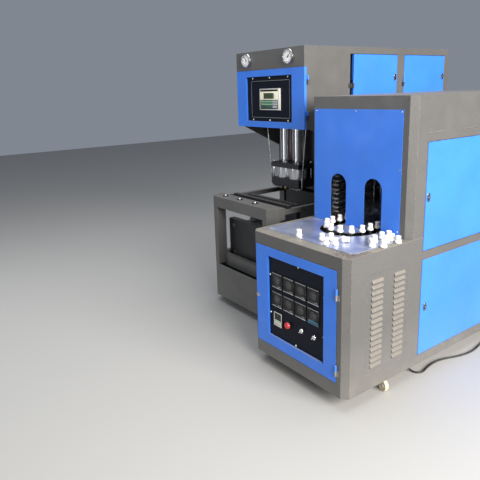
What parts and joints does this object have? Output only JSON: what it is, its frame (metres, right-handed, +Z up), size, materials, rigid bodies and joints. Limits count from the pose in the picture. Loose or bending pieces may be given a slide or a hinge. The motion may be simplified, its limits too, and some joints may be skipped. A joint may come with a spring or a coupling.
{
  "type": "two-unit preform heating and blow moulding machine",
  "caption": "Semi-automatic bottle blow moulder: preform oven with chain conveyor beside a toggle-clamp blowing unit with head controls.",
  "frame": {"origin": "on the floor below the middle of the two units' casings", "axes": "+Z up, -Y towards the operator at the fronts, +X from the blowing unit to the heater"},
  "size_m": [1.907, 2.259, 1.93],
  "materials": {
    "grey_paint": "speckled grey enamel, low gloss",
    "blue_paint": "royal blue enamel, satin",
    "black_plastic": "matt black",
    "cream_plastic": "cream, slightly worn",
    "white_plastic": "white, smooth",
    "red_plastic": "red, smooth",
    "black_steel": "black, oiled",
    "bright_steel": "ground",
    "chrome": "polished",
    "plate_steel": "bluish, scratched",
    "cast_metal": "as cast",
    "brass": "satin",
    "cord_rubber": "matt black rubber"
  },
  "bodies": {
    "machine": {"blower_frame": "grey_paint", "levelling_feet": "black_steel", "blower_casing": "grey_paint", "pressure_gauges": "white_plastic", "fixed_plates": "black_steel", "tie_bars": "bright_steel", "clamp_cylinder": "cast_metal", "station_plates": "black_steel", "cylinder_barrels": "chrome", "air_lines": "chrome", "valve_manifold": "cast_metal", "hinge_pins": "bright_steel", "heater_cabinet": "grey_paint", "oven_casing": "grey_paint", "louvre_panels": "grey_paint", "table_plate": "plate_steel", "arch_panel": "blue_paint", "conveyor_chain": "black_steel", "preform_seats": "white_plastic", "conveyor_drive": "cast_metal", "lamp_banks": "bright_steel", "cord_gland": "black_plastic", "mains_cord": "cord_rubber", "cord_coil": "cord_rubber", "mains_plug": "black_plastic"},
    "head_door": {"head_door": "blue_paint", "head_panel": "black_plastic", "blow_controller": "cream_plastic"},
    "tall_door_front": {"tall_door_front": "blue_paint"},
    "tall_door_rear": {"tall_door_rear": "blue_paint"},
    "gauge_needle_left": {"gauge_needle_left": "black_plastic"},
    "gauge_needle_right": {"gauge_needle_right": "black_plastic"},
    "push_button_left": {"push_button_left": "bright_steel"},
    "push_button_middle": {"push_button_middle": "bright_steel"},
    "push_button_right": {"push_button_right": "bright_steel"},
    "front_platen": {"front_platen": "black_steel"},
    "rear_platen": {"rear_platen": "black_steel"},
    "front_crank": {"front_crank": "bright_steel"},
    "front_link": {"front_link": "bright_steel"},
    "rear_crank": {"rear_crank": "bright_steel"},
    "rear_link": {"rear_link": "bright_steel"},
    "lift_beam": {"lift_beam": "bright_steel"},
    "seal_piston_left": {"seal_piston_left": "brass"},
    "stretch_rod_left": {"stretch_rod_left": "bright_steel"},
    "seal_piston_right": {"seal_piston_right": "brass"},
    "stretch_rod_right": {"stretch_rod_right": "bright_steel"},
    "heater_door": {"heater_door": "blue_paint", "heater_panel": "black_plastic", "panel_instruments": "black_plastic"},
    "stop_button": {"stop_button": "red_plastic"},
    "selector_left": {"selector_left": "bright_steel"},
    "selector_right": {"selector_right": "bright_steel"},
    "oven_door_upper": {"oven_door_upper": "blue_paint"},
    "oven_door_lower": {"oven_door_lower": "blue_paint"},
    "caster_fork_left": {"caster_fork_left": "bright_steel"},
    "wheel_front_left": {"wheel_front_left": "cream_plastic"},
    "caster_fork_right": {"caster_fork_right": "bright_steel"},
    "wheel_front_right": {"wheel_front_right": "cream_plastic"},
    "wheel_rear_left": {"wheel_rear_left": "cream_plastic"},
    "wheel_rear_right": {"wheel_rear_right": "cream_plastic"}
  },
  "joints": [
    {"name": "head_door_hinge", "type": "hinge", "parent": "machine", "child": "head_door", "pos_m": [-0.0997, -0.471, 1.589], "axis": [0, 0, 1], "range_deg": [0, 110]},
    {"name": "tall_door_front_hinge", "type": "hinge", "parent": "machine", "child": "tall_door_front", "pos_m": [-0.099, -0.028, 1.14], "axis": [0, 0, -1], "range_deg": [0, 22]},
    {"name": "tall_door_rear_hinge", "type": "hinge", "parent": "machine", "child": "tall_door_rear", "pos_m": [-0.099, 0.539, 1.14], "axis": [0, 0, -1], "range_deg": [0, 40]},
    {"name": "gauge_needle_left_turn", "type": "hinge", "parent": "machine", "child": "gauge_needle_left", "pos_m": [-0.729, -0.511, 1.87], "axis": [0, 1, 0], "range_deg": [-100, 170], "stiffness_Nm_per_rad": 0.0004},
    {"name": "gauge_needle_right_turn", "type": "hinge", "parent": "machine", "child": "gauge_needle_right", "pos_m": [-0.254, -0.511, 1.87], "axis": [0, 1, 0], "range_deg": [-175, 95], "stiffness_Nm_per_rad": 0.0004},
    {"name": "push_button_left_press", "type": "slide", "parent": "machine", "child": "push_button_left", "axis": [0, 0, -1], "range_m": [0, 0.004], "stiffness_N_per_m": 400},
    {"name": "push_button_middle_press", "type": "slide", "parent": "machine", "child": "push_button_middle", "axis": [0, 0, -1], "range_m": [0, 0.004], "stiffness_N_per_m": 400},
    {"name": "push_button_right_press", "type": "slide", "parent": "machine", "child": "push_button_right", "axis": [0, 0, -1], "range_m": [0, 0.004], "stiffness_N_per_m": 400},
    {"name": "platen_front_close", "type": "slide", "parent": "machine", "child": "front_platen", "axis": [0, 1, 0], "range_m": [0, 0.085]},
    {"name": "platen_rear_close", "type": "slide", "parent": "machine", "child": "rear_platen", "axis": [0, -1, 0], "range_m": [0, 0.08504]},
    {"name": "crank_front_turn", "type": "hinge", "parent": "machine", "child": "front_crank", "pos_m": [-0.4885, -0.609, 0.6], "axis": [1, 0, 0], "range_deg": [0, 34.67]},
    {"name": "link_front_turn", "type": "hinge", "parent": "front_crank", "child": "front_link", "pos_m": [-0.4885, -0.56, 0.50997], "axis": [-1, 0, 0], "range_deg": [0, 69.34]},
    {"name": "crank_rear_turn", "type": "hinge", "parent": "machine", "child": "rear_crank", "pos_m": [-0.4885, 0.063, 0.6], "axis": [-1, 0, 0], "range_deg": [0, 34.67]},
    {"name": "link_rear_turn", "type": "hinge", "parent": "rear_crank", "child": "rear_link", "pos_m": [-0.4885, 0.014, 0.50997], "axis": [1, 0, 0], "range_deg": [0, 69.34]},
    {"name": "clamp_lift", "type": "slide", "parent": "machine", "child": "lift_beam", "axis": [0, 0, 1], "range_m": [0, 0.04386]},
    {"name": "seal_left_down", "type": "slide", "parent": "machine", "child": "seal_piston_left", "axis": [0, 0, -1], "range_m": [0, 0.045]},
    {"name": "stretch_left_down", "type": "slide", "parent": "machine", "child": "stretch_rod_left", "axis": [0, 0, -1], "range_m": [0, 0.33]},
    {"name": "seal_right_down", "type": "slide", "parent": "machine", "child": "seal_piston_right", "axis": [0, 0, -1], "range_m": [0, 0.045]},
    {"name": "stretch_right_down", "type": "slide", "parent": "machine", "child": "stretch_rod_right", "axis": [0, 0, -1], "range_m": [0, 0.33]},
    {"name": "heater_door_hinge", "type": "hinge", "parent": "machine", "child": "heater_door", "pos_m": [0.809, -1.13, 0.46], "axis": [0, 0, 1], "range_deg": [0, 110]},
    {"name": "stop_button_press", "type": "slide", "parent": "heater_door", "child": "stop_button", "axis": [0, 1, 0], "range_m": [0, 0.006], "stiffness_N_per_m": 500},
    {"name": "selector_left_turn", "type": "hinge", "parent": "heater_door", "child": "selector_left", "pos_m": [0.535, -1.113, 0.345], "axis": [0, -1, 0], "range_deg": [0, 80]},
    {"name": "selector_right_turn", "type": "hinge", "parent": "heater_door", "child": "selector_right", "pos_m": [0.635, -1.113, 0.345], "axis": [0, -1, 0], "range_deg": [0, 80]},
    {"name": "oven_door_upper_hinge", "type": "hinge", "parent": "machine", "child": "oven_door_upper", "pos_m": [0.878, 0.664, 1.063], "axis": [0, 0, 1], "range_deg": [0, 100]},
    {"name": "oven_door_lower_hinge", "type": "hinge", "parent": "machine", "child": "oven_door_lower", "pos_m": [0.878, 0.664, 0.426], "axis": [0, 0, 1], "range_deg": [0, 100]},
    {"name": "caster_left_swivel", "type": "hinge", "parent": "machine", "child": "caster_fork_left", "pos_m": [0.171, -0.778, 0.076], "axis": [0, 0, 1], "continuous": true},
    {"name": "wheel_front_left_roll", "type": "hinge", "parent": "caster_fork_left", "child": "wheel_front_left", "pos_m": [0.19643, -0.78341, 0.034], "axis": [0.2079, 0.9781, 0], "continuous": true},
    {"name": "caster_right_swivel", "type": "hinge", "parent": "machine", "child": "caster_fork_right", "pos_m": [0.817, -0.778, 0.076], "axis": [0, 0, 1], "continuous": true},
    {"name": "wheel_front_right_roll", "type": "hinge", "parent": "caster_fork_right", "child": "wheel_front_right", "pos_m": [0.84243, -0.78341, 0.034], "axis": [0.2079, 0.9781, 0], "continuous": true},
    {"name": "wheel_rear_left_roll", "type": "hinge", "parent": "machine", "child": "wheel_rear_left", "pos_m": [0.191, 0.427, 0.034], "axis": [1, 0, 0], "continuous": true},
    {"name": "wheel_rear_right_roll", "type": "hinge", "parent": "machine", "child": "wheel_rear_right", "pos_m": [0.791, 0.427, 0.034], "axis": [1, 0, 0], "continuous": true}
  ],
  "couplings": [
    {"joint": "platen_rear_close", "follows": "platen_front_close", "ratio": 1},
    {"joint": "crank_front_turn", "follows": "platen_front_close", "rad_per_m": 7.1157},
    {"joint": "link_front_turn", "follows": "platen_front_close", "rad_per_m": 14.231},
    {"joint": "crank_rear_turn", "follows": "platen_front_close", "rad_per_m": 7.1157},
    {"joint": "link_rear_turn", "follows": "platen_front_close", "rad_per_m": 14.231},
    {"joint": "clamp_lift", "follows": "platen_front_close", "ratio": 0.51569}
  ]
}
